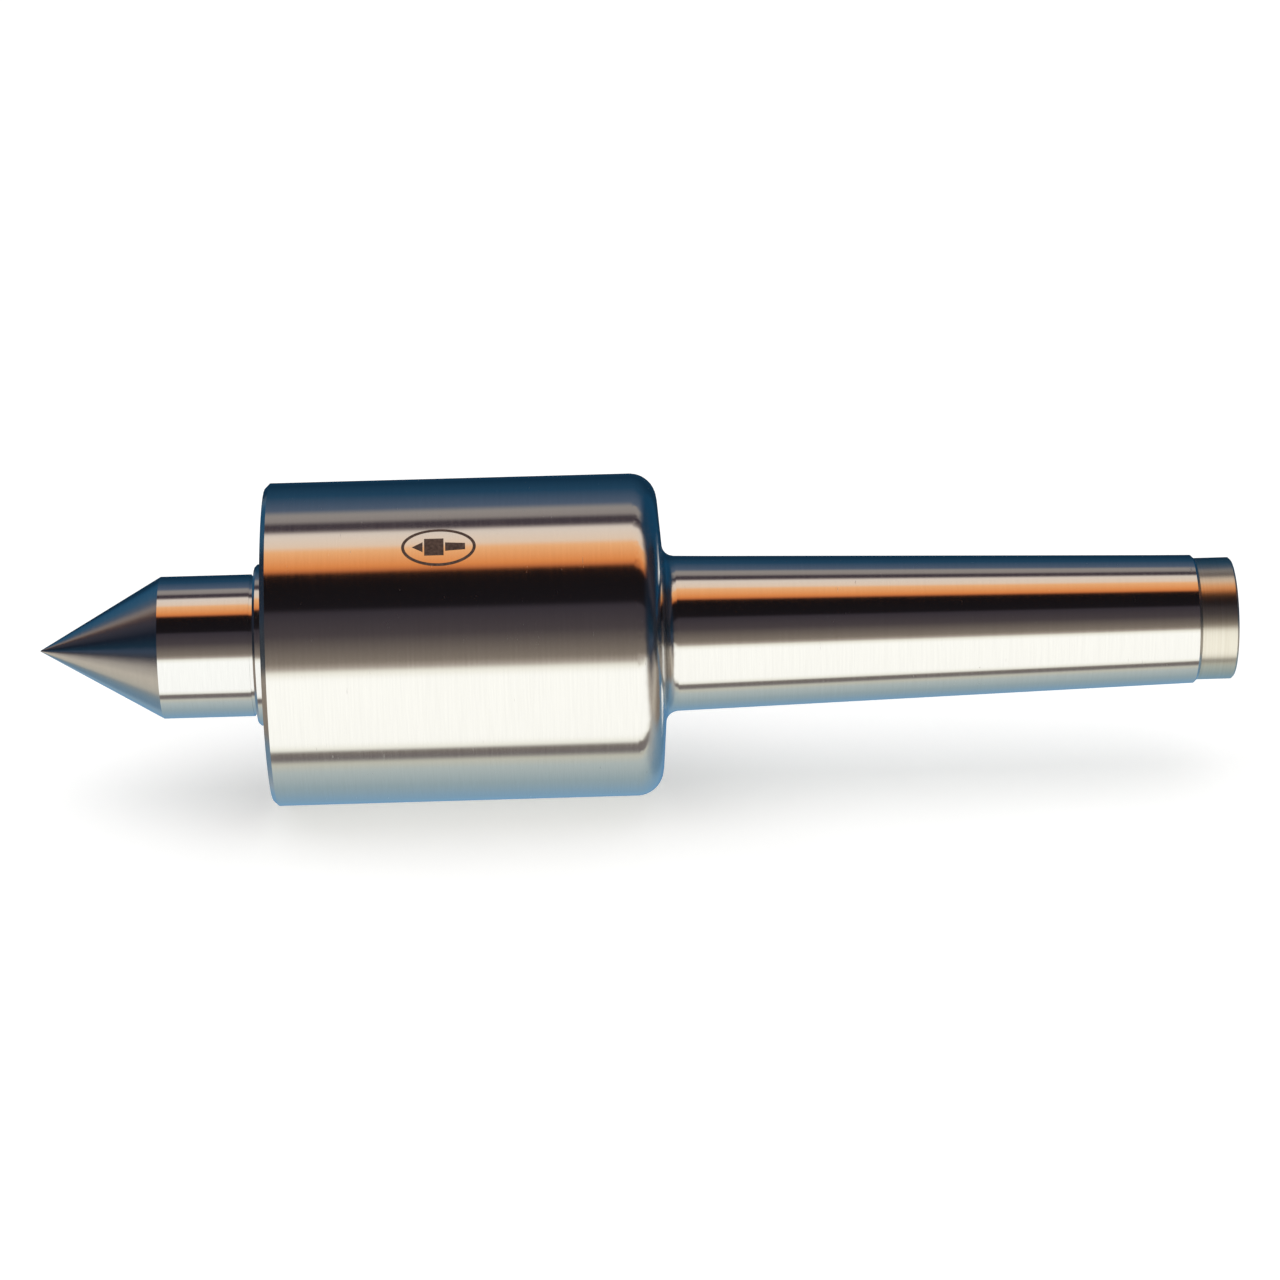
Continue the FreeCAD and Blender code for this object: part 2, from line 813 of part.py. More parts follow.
def spindle_locknut():
    """A slotted round nut. Its slots take a hook spanner, and one of them takes the washer's bent tab."""
    outside = s.nut_diameter / 2
    body = turned(
        "spindle_locknut",
        bearing_back + s.washer_thickness,
        rectangle(0, s.nut_width, s.bearing_bore / 2, outside),
    )
    chamfer(body, s.bearing_chamfer, s.nut_width, outside)
    half_slot = s.nut_slot_width / 2
    sketch = new_sketch(body, "slot_section")
    draw_outline(sketch, rectangle(0, s.nut_width, 0 - half_slot, half_slot))
    bind(sketch, "AttachmentOffset.Base.z", outside - s.nut_slot_depth)
    slot = pocket(body, sketch, s.nut_diameter, reverse=True)
    repeat_round_axis(body, slot, NUT_SLOTS)
    return body


# ---- Thrust bearing, and the disc springs that it leans on ---------------------------------------------

thrust_middle = s.thrust_height / 2


def thrust_washer(label, start, bore, outside):
    body = turned(
        label, thrust_front, rectangle(start, start + s.thrust_washer, bore / 2, outside / 2)
    )
    groove_ball_track(body, thrust_middle, thrust_pitch_radius, thrust_ball_radius + s.race_clearance)
    return body


def thrust_bearing_cage():
    low = thrust_middle - s.thrust_cage_width / 2
    high = thrust_middle + s.thrust_cage_width / 2
    body = turned(
        "thrust_bearing_cage",
        thrust_front,
        rectangle(low, high, s.thrust_cage_inside / 2, s.thrust_cage_outside / 2),
    )
    sketch = new_sketch(body, "pocket_section", "YZ_Plane")
    draw_circle(sketch, 0, thrust_pitch_radius, thrust_ball_radius + s.pocket_clearance)
    first = pocket(body, sketch, s.thrust_height, reverse=True)
    repeat_round_axis(body, first, THRUST_BALLS)
    return body


def disc_spring(label, station, inner_start, outer_start):
    """A coned washer. The pair stand rim to rim, so each is the other turned round."""
    inside, outside = s.disc_inside / 2, s.disc_outside / 2
    return turned(
        label,
        station,
        [
            (inner_start, inside),
            (outer_start, outside),
            (outer_start + s.disc_thickness, outside),
            (inner_start + s.disc_thickness, inside),
        ],
    )


# ---- Needle bearing: a drawn cup, needles and their cage -----------------------------------------------


def needle_bearing_cup():
    outside, mouth, wall = s.needle_cup_diameter / 2, s.needle_cup_mouth / 2, s.needle_cup_wall
    return turned(
        "needle_bearing_cup",
        needle_front,
        [
            (0, mouth),
            (0, outside),
            (s.needle_cup_length, outside),
            (s.needle_cup_length, mouth),
            (s.needle_cup_length - wall, mouth),
            (s.needle_cup_length - wall, needle_race_radius),
            (wall, needle_race_radius),
            (wall, mouth),
        ],
    )


def needle_rollers():
    """Each needle is turned about its own axis, which the sketch's offset puts at the pitch radius."""
    radius, end_round = s.needle_diameter / 2, s.needle_end_round
    start = (s.needle_cup_length - s.needle_length) / 2
    stop = start + s.needle_length
    body = new_body("needle_rollers", needle_front)
    sketch = new_sketch(body, "needle_section")
    draw_outline(
        sketch,
        [
            (start, 0),
            (start, radius - end_round),
            (start + end_round, radius),
            (stop - end_round, radius),
            (stop, radius - end_round),
            (stop, 0),
        ],
    )
    bind(sketch, "AttachmentOffset.Base.y", needle_pitch_radius)
    needle = revolve(body, sketch, "needle")
    repeat_round_axis(body, needle, NEEDLES)
    return body


def needle_bearing_cage():
    start = (s.needle_cup_length - s.needle_cage_length) / 2
    body = turned(
        "needle_bearing_cage",
        needle_front,
        rectangle(
            start, start + s.needle_cage_length, s.needle_cage_inside / 2, s.needle_cage_outside / 2
        ),
    )
    sketch = new_sketch(body, "pocket_section", "XZ_Plane")
    half_width = s.needle_diameter / 2 + s.needle_pocket_play
    pocket_start = (s.needle_cup_length - s.needle_length) / 2 - s.needle_pocket_play
    pocket_end = s.needle_cup_length - pocket_start
    draw_outline(sketch, rectangle(pocket_start, pocket_end, 0 - half_width, half_width))
    first = pocket(body, sketch, s.needle_cup_diameter)
    repeat_round_axis(body, first, NEEDLES)
    return body


# ---- The whole live center -----------------------------------------------------------------------------

pieces = [
    head_and_shank(),
    front_cap(),
    cap_o_ring(),
    seal_case(),
    seal_lip(),
    seal_garter_spring(),
    cap_lock_screw(),
    cap_lock_pad(),
    center_spindle(),
    front_bearing_inner_ring(),
    front_bearing_outer_ring(),
    ball_ring(
        "front_bearing_front_balls",
        bearing_front + front_row,
        bearing_pitch_radius,
        bearing_ball_radius,
        ROW_BALLS,
    ),
    ball_ring(
        "front_bearing_rear_balls",
        bearing_front + rear_row,
        bearing_pitch_radius,
        bearing_ball_radius,
        ROW_BALLS,
    ),
    bearing_row_cage("front_bearing_front_cage", front_row, -1),
    bearing_row_cage("front_bearing_rear_cage", rear_row, 1),
    lock_washer(),
    spindle_locknut(),
    thrust_washer("thrust_bearing_shaft_washer", as_size(0), s.thrust_bore, s.thrust_shaft_diameter),
    thrust_washer(
        "thrust_bearing_housing_washer",
        s.thrust_height - s.thrust_washer,
        s.thrust_housing_bore,
        s.thrust_diameter,
    ),
    ball_ring(
        "thrust_bearing_balls",
        thrust_front + thrust_middle,
        thrust_pitch_radius,
        thrust_ball_radius,
        THRUST_BALLS,
    ),
    thrust_bearing_cage(),
    disc_spring("disc_spring_front", thrust_back, as_size(0), s.disc_cone),
    disc_spring("disc_spring_rear", thrust_back + disc_height, s.disc_cone, as_size(0)),
    needle_bearing_cup(),
    needle_rollers(),
    needle_bearing_cage(),
]

doc.recompute()

for thing in doc.Objects:
    if "Invalid" in thing.State or "Error" in thing.State:
        raise RuntimeError(f"{thing.Name} ({thing.Label}) failed: {thing.State}")
for piece in pieces:
    if piece.Shape.isNull() or not piece.Shape.isValid() or not piece.Shape.Solids:
        raise RuntimeError(f"{piece.Label} has no valid solid")

os.makedirs("parts", exist_ok=True)
for piece in pieces:
    piece.Shape.exportStep(f"parts/{piece.Label}.step")
    box = piece.Shape.BoundBox
    print(
        f"{piece.Label:32s} solids {len(piece.Shape.Solids):2d}  volume {piece.Shape.Volume:10.1f}"
        f"  x {box.XMin:8.2f} to {box.XMax:8.2f}  z {box.ZMin:7.2f} to {box.ZMax:7.2f}"
    )
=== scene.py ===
import math

import bmesh
import bpy
from mathutils import Matrix, Vector


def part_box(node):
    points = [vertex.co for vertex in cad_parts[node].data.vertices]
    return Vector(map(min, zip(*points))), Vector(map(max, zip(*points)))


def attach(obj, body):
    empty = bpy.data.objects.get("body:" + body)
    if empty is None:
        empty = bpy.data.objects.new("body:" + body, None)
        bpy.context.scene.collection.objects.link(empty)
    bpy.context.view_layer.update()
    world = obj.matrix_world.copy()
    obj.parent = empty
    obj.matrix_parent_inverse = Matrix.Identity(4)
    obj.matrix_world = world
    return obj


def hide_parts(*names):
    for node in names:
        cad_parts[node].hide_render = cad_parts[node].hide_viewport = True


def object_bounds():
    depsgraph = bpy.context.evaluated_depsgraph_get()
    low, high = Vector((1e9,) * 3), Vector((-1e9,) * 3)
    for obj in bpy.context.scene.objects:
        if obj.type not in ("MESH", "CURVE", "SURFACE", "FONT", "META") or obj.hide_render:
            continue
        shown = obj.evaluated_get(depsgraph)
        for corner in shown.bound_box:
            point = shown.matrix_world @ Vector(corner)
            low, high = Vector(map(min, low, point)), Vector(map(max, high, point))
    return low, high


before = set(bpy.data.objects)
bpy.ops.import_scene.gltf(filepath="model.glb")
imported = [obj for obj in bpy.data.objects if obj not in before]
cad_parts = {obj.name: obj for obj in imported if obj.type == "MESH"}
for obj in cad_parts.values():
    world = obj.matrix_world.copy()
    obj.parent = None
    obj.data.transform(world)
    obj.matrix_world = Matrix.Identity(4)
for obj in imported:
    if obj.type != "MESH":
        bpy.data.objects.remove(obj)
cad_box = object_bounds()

# A live center: a spindle with a 60 degree point that turns on bearings in a round head with a taper shank.
# The frame is the CAD model's: metres, +X along the axis towards the tail, +Z up.

# ---- Head and taper shank -------------------------------------------------------------------------------
# One forging of case-hardened alloy steel. The head, the taper and the two fillets between them are
# ground on centres, and the short tail beyond the taper is left as the lathe turned it.

MM = 0.001


def linear(hex_colour):
    """An sRGB hex colour as the linear red, green, blue and alpha that the shaders take."""
    channels = [int(hex_colour[i : i + 2], 16) / 255 for i in (1, 3, 5)]
    return (*(c / 12.92 if c <= 0.04045 else ((c + 0.055) / 1.055) ** 2.4 for c in channels), 1.0)


def feed(tree, node, inputs):
    """Gives a node's sockets their constants, or links them to other nodes' outputs."""
    for socket, value in inputs.items():
        if isinstance(value, bpy.types.NodeSocket):
            tree.links.new(value, node.inputs[socket])
        else:
            node.inputs[socket].default_value = value


def add(tree, kind, inputs=None, stops=(), **settings):
    """Adds a node with its settings, its sockets' constants and links, and its ramp's stops if it has any."""
    node = tree.nodes.new(kind)
    for name, value in settings.items():
        setattr(node, name, value)
    feed(tree, node, inputs or {})
    for i, (position, hex_colour) in enumerate(stops):
        elements = node.color_ramp.elements
        element = elements[i] if i < 2 else elements.new(position)
        element.position = position
        element.color = linear(hex_colour)
    return node


def new_material(name, **constants):
    """A material with one principled shader. What is the same all over goes on the shader's own sockets."""
    material = bpy.data.materials.new(name)
    material.use_nodes = True
    tree = material.node_tree
    tree.nodes.clear()
    shader = add(
        tree,
        "ShaderNodeBsdfPrincipled",
        {socket.replace("_", " "): value for socket, value in constants.items()},
    )
    add(tree, "ShaderNodeOutputMaterial", {"Surface": shader.outputs["BSDF"]})
    return material, tree, shader


def give(material, *nodes):
    """Puts a finish on CAD pieces."""
    for node in nodes:
        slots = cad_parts[node].data.materials
        slots.clear()
        slots.append(material)


def marks_round_axis(tree, spacing, run):
    """Marks that a wheel or a tool leaves round the X axis. Each is as wide as spacing, and keeps its depth
    for about the length of run. On a face square to the axis they are rings."""
    place = add(tree, "ShaderNodeTexCoord").outputs["Object"]
    parts = add(tree, "ShaderNodeSeparateXYZ", {0: place})
    off_axis = add(tree, "ShaderNodeVectorMath", {0: place, 1: (0, 1, 1)}, operation="MULTIPLY")
    radius = add(tree, "ShaderNodeVectorMath", {0: off_axis.outputs[0]}, operation="LENGTH")
    # The radius counts a little less than the length, so that a 45 degree chamfer is marked too.
    radius_share = 0.83
    profile = add(
        tree,
        "ShaderNodeMath",
        {0: radius.outputs["Value"], 1: radius_share, 2: parts.outputs["X"]},
        operation="MULTIPLY_ADD",
    )
    across = add(tree, "ShaderNodeMath", {0: profile.outputs[0], 1: spacing}, operation="DIVIDE")
    along_y = add(tree, "ShaderNodeMath", {0: parts.outputs["Y"], 1: run}, operation="DIVIDE")
    along_z = add(tree, "ShaderNodeMath", {0: parts.outputs["Z"], 1: run}, operation="DIVIDE")
    stretched = add(
        tree,
        "ShaderNodeCombineXYZ",
        {"X": across.outputs[0], "Y": along_y.outputs[0], "Z": along_z.outputs[0]},
    )
    noise = add(
        tree,
        "ShaderNodeTexNoise",
        {"Vector": stretched.outputs[0], "Scale": 1.0, "Detail": 2.0, "Roughness": 0.6},
    )
    return noise.outputs[0]


# Nearly all of the marks lie between these two values.
mark_bottom, mark_top = 0.3, 0.7


def machined_metal(name, colours, roughness, spacing, run, depth, anisotropy):
    """Metal with wheel or tool marks round its axis, which spread its gloss along the axis and keep it
    sharp round it. Colours and roughness are each given for the bottom and the top of the marks."""
    material, tree, shader = new_material(
        name, Metallic=1.0, Anisotropic=anisotropy, Anisotropic_Rotation=0.25
    )
    marks = marks_round_axis(tree, spacing, run)
    colour = add(
        tree,
        "ShaderNodeValToRGB",
        {0: marks},
        stops=[(mark_bottom, colours[0]), (mark_top, colours[1])],
    )
    sheen = add(
        tree,
        "ShaderNodeMapRange",
        {
            "Value": marks,
            "From Min": mark_bottom,
            "From Max": mark_top,
            "To Min": roughness[0],
            "To Max": roughness[1],
        },
    )
    relief = add(tree, "ShaderNodeBump", {"Height": marks, "Distance": depth})
    tangent = add(tree, "ShaderNodeTangent", direction_type="RADIAL", axis="X")
    feed(
        tree,
        shader,
        {
            "Base Color": colour.outputs[0],
            "Roughness": sheen.outputs[0],
            "Normal": relief.outputs[0],
            "Tangent": tangent.outputs[0],
        },
    )
    return material, tree, shader, colour.outputs[0], sheen.outputs[0]


# Ground hardened steel mirrors sharply round the axis and softly along it, with faint streaks. A 60 grit
# wheel leaves marks about 0.05 mm wide, and they are drawn 0.3 mm wide so that they show.
steel, tree, shader, ground_colour, ground_sheen = machined_metal(
    "ground_case_hardened_steel",
    colours=("#c5c4c2", "#c9c8c6"),
    roughness=(0.125, 0.165),
    spacing=0.3 * MM,
    run=9 * MM,
    depth=0.0006 * MM,
    anisotropy=0.85,
)
# The tail keeps a thin straw oxide and a coarser finish, and starts where the taper's bevel ends.
tail_length = 7.35 * MM
tail_roughness = 0.34
tail_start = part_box("head_and_shank")[1].x - tail_length
place = add(tree, "ShaderNodeTexCoord").outputs["Object"]
along = add(tree, "ShaderNodeSeparateXYZ", {0: place}).outputs["X"]
on_tail = add(tree, "ShaderNodeMath", {0: along, 1: tail_start}, operation="GREATER_THAN").outputs[0]
tail_marks = marks_round_axis(tree, 0.3 * MM, 25 * MM)
tail_colour = add(
    tree,
    "ShaderNodeValToRGB",
    {0: tail_marks},
    stops=[(mark_bottom, "#c2bdb1"), (mark_top, "#cac6bc")],
)
colour = add(
    tree,
    "ShaderNodeMix",
    {0: on_tail, 6: ground_colour, 7: tail_colour.outputs[0]},
    data_type="RGBA",
)
# Handling has left a few short nicks, which lie with the grinding marks and scatter the light.
nick_field = marks_round_axis(tree, 0.5 * MM, 3.5 * MM)
nicks = add(
    tree,
    "ShaderNodeMapRange",
    {"Value": nick_field, "From Min": 0.72, "From Max": 0.78},
    interpolation_type="SMOOTHSTEP",
)
nick_roughness = 0.25
nicked = add(
    tree,
    "ShaderNodeMath",
    {0: nicks.outputs[0], 1: nick_roughness, 2: ground_sheen},
    operation="MULTIPLY_ADD",
)
sheen = add(
    tree,
    "ShaderNodeMix",
    {0: on_tail, 2: nicked.outputs[0], 3: tail_roughness},
    data_type="FLOAT",
)
feed(tree, shader, {"Base Color": colour.outputs[2], "Roughness": sheen.outputs[0]})
give(steel, "head_and_shank")

# ---- Etched mark ----------------------------------------------------------------------------------------
# A plain pictogram of a live center in an oval, where the maker would put a name. It is electro-etched
# after grinding, which leaves a dark film of oxide that stands a hair above the ground steel.

mark_centre = -47.75 * MM
mark_height = math.radians(54)
mark_oval = (7.3 * MM, 4.4 * MM)
mark_stroke = 0.6 * MM
strip_width = 0.4 * MM
film_bottom = -0.03 * MM
film_top = 0.015 * MM
head_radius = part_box("head_and_shank")[1].z

mark_mesh = bmesh.new()
bmesh.ops.create_circle(mark_mesh, cap_ends=True, segments=56, radius=1.0)
bmesh.ops.scale(mark_mesh, vec=(*mark_oval, 1), verts=mark_mesh.verts)
oval = mark_mesh.faces[:]
bmesh.ops.inset_region(
    mark_mesh, faces=oval, thickness=mark_stroke, use_boundary=True, use_even_offset=True
)
bmesh.ops.delete(mark_mesh, geom=oval, context="FACES_ONLY")
# The point, the head and the shank of the drawn center: left end, right end, and half height at each.
for left, right, left_half, right_half in (
    (-5.2, -3.1, 0.0, 1.2),
    (-2.8, 1.0, 2.0, 2.0),
    (1.3, 5.2, 1.0, 0.75),
):
    corners = [(left, left_half), (right, right_half), (right, -right_half), (left, -left_half)]
    if left_half == 0:
        corners.pop()
    mark_mesh.faces.new([mark_mesh.verts.new((u * MM, v * MM, 0)) for u, v in corners])
# The film is cut into narrow strips, so that it follows the round head.
strips_each_way = round(mark_oval[1] / strip_width)
for i in range(-strips_each_way, strips_each_way + 1):
    bmesh.ops.bisect_plane(
        mark_mesh,
        geom=mark_mesh.verts[:] + mark_mesh.edges[:] + mark_mesh.faces[:],
        dist=1e-7,
        plane_co=(0, i * strip_width, 0),
        plane_no=(0, 1, 0),
    )
film = bmesh.ops.extrude_face_region(mark_mesh, geom=mark_mesh.faces[:], use_keep_orig=True)["geom"]
film_verts = {v for v in film if isinstance(v, bmesh.types.BMVert)}
for v in mark_mesh.verts:
    radius = head_radius + (film_top if v in film_verts else film_bottom)
    turn = mark_height + v.co.y / head_radius
    v.co = (mark_centre + v.co.x, -radius * math.cos(turn), radius * math.sin(turn))
bmesh.ops.recalc_face_normals(mark_mesh, faces=mark_mesh.faces)


def new_piece(name, mesh, material, body):
    """Makes a finished bmesh an object that moves with a CAD body."""
    data = bpy.data.meshes.new(name)
    mesh.to_mesh(data)
    mesh.free()
    data.materials.append(material)
    piece = bpy.data.objects.new(name, data)
    bpy.context.scene.collection.objects.link(piece)
    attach(piece, body)
    return piece


# Etched oxide is a matt dark brown, and thins here and there where the acid bit less.
oxide, tree, shader = new_material("etched_oxide", Metallic=0.0, Specular_IOR_Level=0.4)
place = add(tree, "ShaderNodeTexCoord").outputs["Object"]
bite = add(tree, "ShaderNodeTexNoise", {"Vector": place, "Scale": 1 / (0.6 * MM), "Detail": 3.0})
colour = add(
    tree, "ShaderNodeValToRGB", {0: bite.outputs[0]}, stops=[(0.35, "#3a2a25"), (0.7, "#5a463c")]
)
sheen = add(tree, "ShaderNodeMapRange", {"Value": bite.outputs[0], "To Min": 0.45, "To Max": 0.7})
feed(tree, shader, {"Base Color": colour.outputs[0], "Roughness": sheen.outputs[0]})
new_piece("etched_mark", mark_mesh, oxide, "housing")

# ---- Needle bearing -------------------------------------------------------------------------------------
# A drawn cup with sixteen needles in a sheet cage, pressed into the bottom of the head's bore. It carries
# the spindle's tail. Cup and needles are bearing steel, and the cage is strip.

# Ground bearing steel is a cooler grey than the head. Its marks are drawn about five times too wide.
bearing_steel, *_ = machined_metal(
    "ground_bearing_steel",
    colours=("#b6b7b8", "#c6c7c8"),
    roughness=(0.16, 0.26),
    spacing=0.25 * MM,
    run=5 * MM,
    depth=0.0015 * MM,
    anisotropy=0.7,
)
give(bearing_steel, "needle_bearing_cup")


def grained_material(name, colours, roughness, grain, depth, **constants):
    """A surface with a fine grain that has no direction, under cloudier patches ten times as wide."""
    material, tree, shader = new_material(name, **constants)
    place = add(tree, "ShaderNodeTexCoord").outputs["Object"]
    fine = add(tree, "ShaderNodeTexNoise", {"Vector": place, "Scale": 1 / grain, "Detail": 2.0})
    patches = add(tree, "ShaderNodeTexNoise", {"Vector": place, "Scale": 0.1 / grain, "Detail": 2.0})
    both = add(tree, "ShaderNodeMath", {0: fine.outputs[0], 1: patches.outputs[0]}, operation="ADD")
    level = add(
        tree, "ShaderNodeMapRange", {"Value": both.outputs[0], "From Min": 0.7, "From Max": 1.3}
    )
    tone = add(
        tree, "ShaderNodeValToRGB", {0: level.outputs[0]}, stops=[(0.0, colours[0]), (1.0, colours[1])]
    )
    sheen = add(
        tree,
        "ShaderNodeMapRange",
        {"Value": level.outputs[0], "To Min": roughness[0], "To Max": roughness[1]},
    )
    relief = add(tree, "ShaderNodeBump", {"Height": fine.outputs[0], "Distance": depth})
    feed(
        tree,
        shader,
        {"Base Color": tone.outputs[0], "Roughness": sheen.outputs[0], "Normal": relief.outputs[0]},
    )
    return material


# Lapped balls and needles are close to a mirror, with only a breath of oil on them.
lapped_steel = grained_material(
    "lapped_bearing_steel", ("#c9cacc", "#d5d6d7"), (0.05, 0.09), 0.5 * MM, 0.0001 * MM, Metallic=1.0
)
# Cold-rolled strip is a duller grey, with a fine orange peel where the press has drawn it.
rolled_strip = grained_material(
    "cold_rolled_strip", ("#96948f", "#aeaca7"), (0.28, 0.4), 0.3 * MM, 0.002 * MM, Metallic=1.0
)
give(lapped_steel, "needle_rollers")
give(rolled_strip, "needle_bearing_cage")

# ---- Disc springs ---------------------------------------------------------------------------------------
# Two dished washers of spring steel, back to back, that keep the thrust bearing loaded as the work grows
# with heat. They are stamped, hardened and oil-tempered, which leaves them a dark grey.

tempered_steel = grained_material(
    "oil_tempered_spring_steel", ("#5d5f64", "#74767b"), (0.3, 0.42), 0.3 * MM, 0.002 * MM, Metallic=1.0
)
give(tempered_steel, "disc_spring_front", "disc_spring_rear")

# ---- Thrust bearing -------------------------------------------------------------------------------------
# A ball thrust bearing that takes the push of the tailstock: two ground washers, thirteen balls and a
# pressed cage. One washer turns with the spindle and the other rests on the disc springs.

give(bearing_steel, "thrust_bearing_shaft_washer", "thrust_bearing_housing_washer")
give(lapped_steel, "thrust_bearing_balls")
give(rolled_strip, "thrust_bearing_cage")

# ---- Front bearing --------------------------------------------------------------------------------------
# A double-row angular-contact ball bearing right behind the cap. Its rings are ground bearing steel, and
# each row of twelve balls has its own pressed crown cage.

give(bearing_steel, "front_bearing_outer_ring", "front_bearing_inner_ring")
give(lapped_steel, "front_bearing_front_balls", "front_bearing_rear_balls")
give(rolled_strip, "front_bearing_front_cage", "front_bearing_rear_cage")

# ---- Spindle --------------------------------------------------------------------------------------------
# Hardened tool steel, ground all over, the 60 degree point last and in its own bearings. The nose stands
# out of the cap, and the shoulder behind it runs in the seal.

# Finely ground tool steel is as bright as the head, with shorter marks, drawn about five times too wide.
tool_steel, *_ = machined_metal(
    "ground_tool_steel",
    colours=("#c4c4c4", "#c8c8c8"),
    roughness=(0.115, 0.155),
    spacing=0.25 * MM,
    run=5 * MM,
    depth=0.0005 * MM,
    anisotropy=0.85,
)
give(tool_steel, "center_spindle")

# ---- Locknut and tab washer -----------------------------------------------------------------------------
# A slotted nut clamps the bearing's inner ring on the spindle, and a tab bent from the washer into a slot
# stops it from working loose. The nut is blackened, and the washer is plain pressed strip.

# Black oxide with oil in it is a deep satin black, a shade lighter where it has been handled.
black_oxide = grained_material(
    "black_oxide_on_steel", ("#17171a", "#232326"), (0.3, 0.42), 0.4 * MM, 0.002 * MM, Metallic=0.0
)
give(black_oxide, "spindle_locknut")
give(rolled_strip, "lock_washer")

# ---- Front cap ------------------------------------------------------------------------------------------
# Turned steel, screwed into the head to hold the bearing. Four holes in its face take a pin spanner, an
# O-ring seals its rim, and a grub screw in the head's side holds it through a brass pad.

# A turned face has feed marks about 0.1 mm apart, drawn twice as wide, that run right round.
turned_steel, *_ = machined_metal(
    "turned_steel",
    colours=("#a09f9d", "#b4b3b1"),
    roughness=(0.2, 0.32),
    spacing=0.2 * MM,
    run=60 * MM,
    depth=0.003 * MM,
    anisotropy=0.7,
)
give(turned_steel, "front_cap")
# Moulded nitrile rubber is matt black, with a faint bloom.
nitrile = grained_material(
    "moulded_nitrile_rubber", ("#141415", "#1f1f20"), (0.58, 0.72), 0.25 * MM, 0.004 * MM, Metallic=0.0
)
give(nitrile, "cap_o_ring")
give(black_oxide, "cap_lock_screw")
# Bar brass, parted off on the lathe, warm and satin.
bar_brass = grained_material(
    "turned_brass", ("#b8954c", "#ccab62"), (0.22, 0.34), 0.3 * MM, 0.002 * MM, Metallic=1.0
)
give(bar_brass, "cap_lock_pad")

# ---- Shaft seal -----------------------------------------------------------------------------------------
# A rubber lip moulded to a pressed case, which keeps the grease in. A garter spring, a close coil of fine
# wire joined end to end, lies in the lip's groove and holds it to the spindle.

give(rolled_strip, "seal_case")
give(nitrile, "seal_lip")

spring_low, spring_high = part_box("seal_garter_spring")
spring_middle = (spring_low.x + spring_high.x) / 2
coil_diameter = spring_high.x - spring_low.x
wire_diameter = 0.2 * MM
ring_radius = spring_high.z - coil_diameter / 2
turns_spun = 15
doublings = 5
steps_per_turn = 10
spun_length = math.tau * ring_radius / 2**doublings

coil_mesh = bmesh.new()
bmesh.ops.create_circle(coil_mesh, segments=4, radius=wire_diameter / 2)
upright = Matrix.Rotation(math.radians(90), 3, "X")
bmesh.ops.rotate(coil_mesh, cent=(0, 0, 0), matrix=upright, verts=coil_mesh.verts)
bmesh.ops.translate(coil_mesh, vec=((coil_diameter - wire_diameter) / 2, 0, 0), verts=coil_mesh.verts)
bmesh.ops.spin(
    coil_mesh,
    geom=coil_mesh.verts[:] + coil_mesh.edges[:],
    cent=(0, 0, 0),
    axis=(0, 0, 1),
    dvec=(0, 0, spun_length / (turns_spun * steps_per_turn)),
    angle=math.tau * turns_spun,
    steps=turns_spun * steps_per_turn,
    use_merge=False,
)
for i in range(doublings):
    copy = bmesh.ops.duplicate(
        coil_mesh, geom=coil_mesh.verts[:] + coil_mesh.edges[:] + coil_mesh.faces[:]
    )["geom"]
    bmesh.ops.translate(
        coil_mesh,
        vec=(0, 0, spun_length * 2**i),
        verts=[v for v in copy if isinstance(v, bmesh.types.BMVert)],
    )
# The straight coil is wrapped round the seal, and its two ends meet.
for v in coil_mesh.verts:
    turn = v.co.z / ring_radius
    radius = ring_radius + v.co.x
    v.co = (spring_middle + v.co.y, radius * math.cos(turn), radius * math.sin(turn))
bmesh.ops.remove_doubles(coil_mesh, verts=coil_mesh.verts, dist=0.01 * MM)
bmesh.ops.recalc_face_normals(coil_mesh, faces=coil_mesh.faces)
coil = new_piece("garter_spring_coil", coil_mesh, tempered_steel, "housing")
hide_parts("seal_garter_spring")
give(tempered_steel, "seal_garter_spring")

# ---- Floor, light and camera ----------------------------------------------------------------------------
# A pale light table under soft light. The steel mirrors a painted dome: a bright table below, a dark room
# in front, a white and an amber strip overhead, and a blue drop behind with a white screen at each side.

floor_half_width = 4.0

floor_mesh = bmesh.new()
bmesh.ops.create_grid(floor_mesh, x_segments=1, y_segments=1, size=floor_half_width)
bmesh.ops.translate(floor_mesh, vec=(0, 0, cad_box[0].z), verts=floor_mesh.verts)
floor_data = bpy.data.meshes.new("floor")
floor_mesh.to_mesh(floor_data)
floor_mesh.free()
floor = bpy.data.objects.new("floor", floor_data)
bpy.context.scene.collection.objects.link(floor)
# Matt white acrylic that glows a little from below, which keeps the shadows faint.
acrylic, tree, shader = new_material(
    "opal_acrylic", Roughness=0.9, Specular_IOR_Level=0.1, Emission_Strength=0.35
)
place = add(tree, "ShaderNodeTexCoord").outputs["Object"]
cloud = add(tree, "ShaderNodeTexNoise", {"Vector": place, "Scale": 1 / (60 * MM), "Detail": 1.0})
colour = add(
    tree, "ShaderNodeValToRGB", {0: cloud.outputs[0]}, stops=[(0.3, "#f6f6f5"), (0.7, "#f8f8f7")]
)
feed(tree, shader, {"Base Color": colour.outputs[0], "Emission Color": colour.outputs[0]})
floor_data.materials.append(acrylic)
floor.visible_glossy = False

# The dome's colours start low down behind, in degrees round the axis: 0 is level in front, 90 overhead
# and 180 level behind.
dome_start = -160.0


def dome_stops(colours):
    """A ramp's stops for colours given by their height round the axis."""
    return [((height - dome_start) / 360, hex_colour) for height, hex_colour in colours]


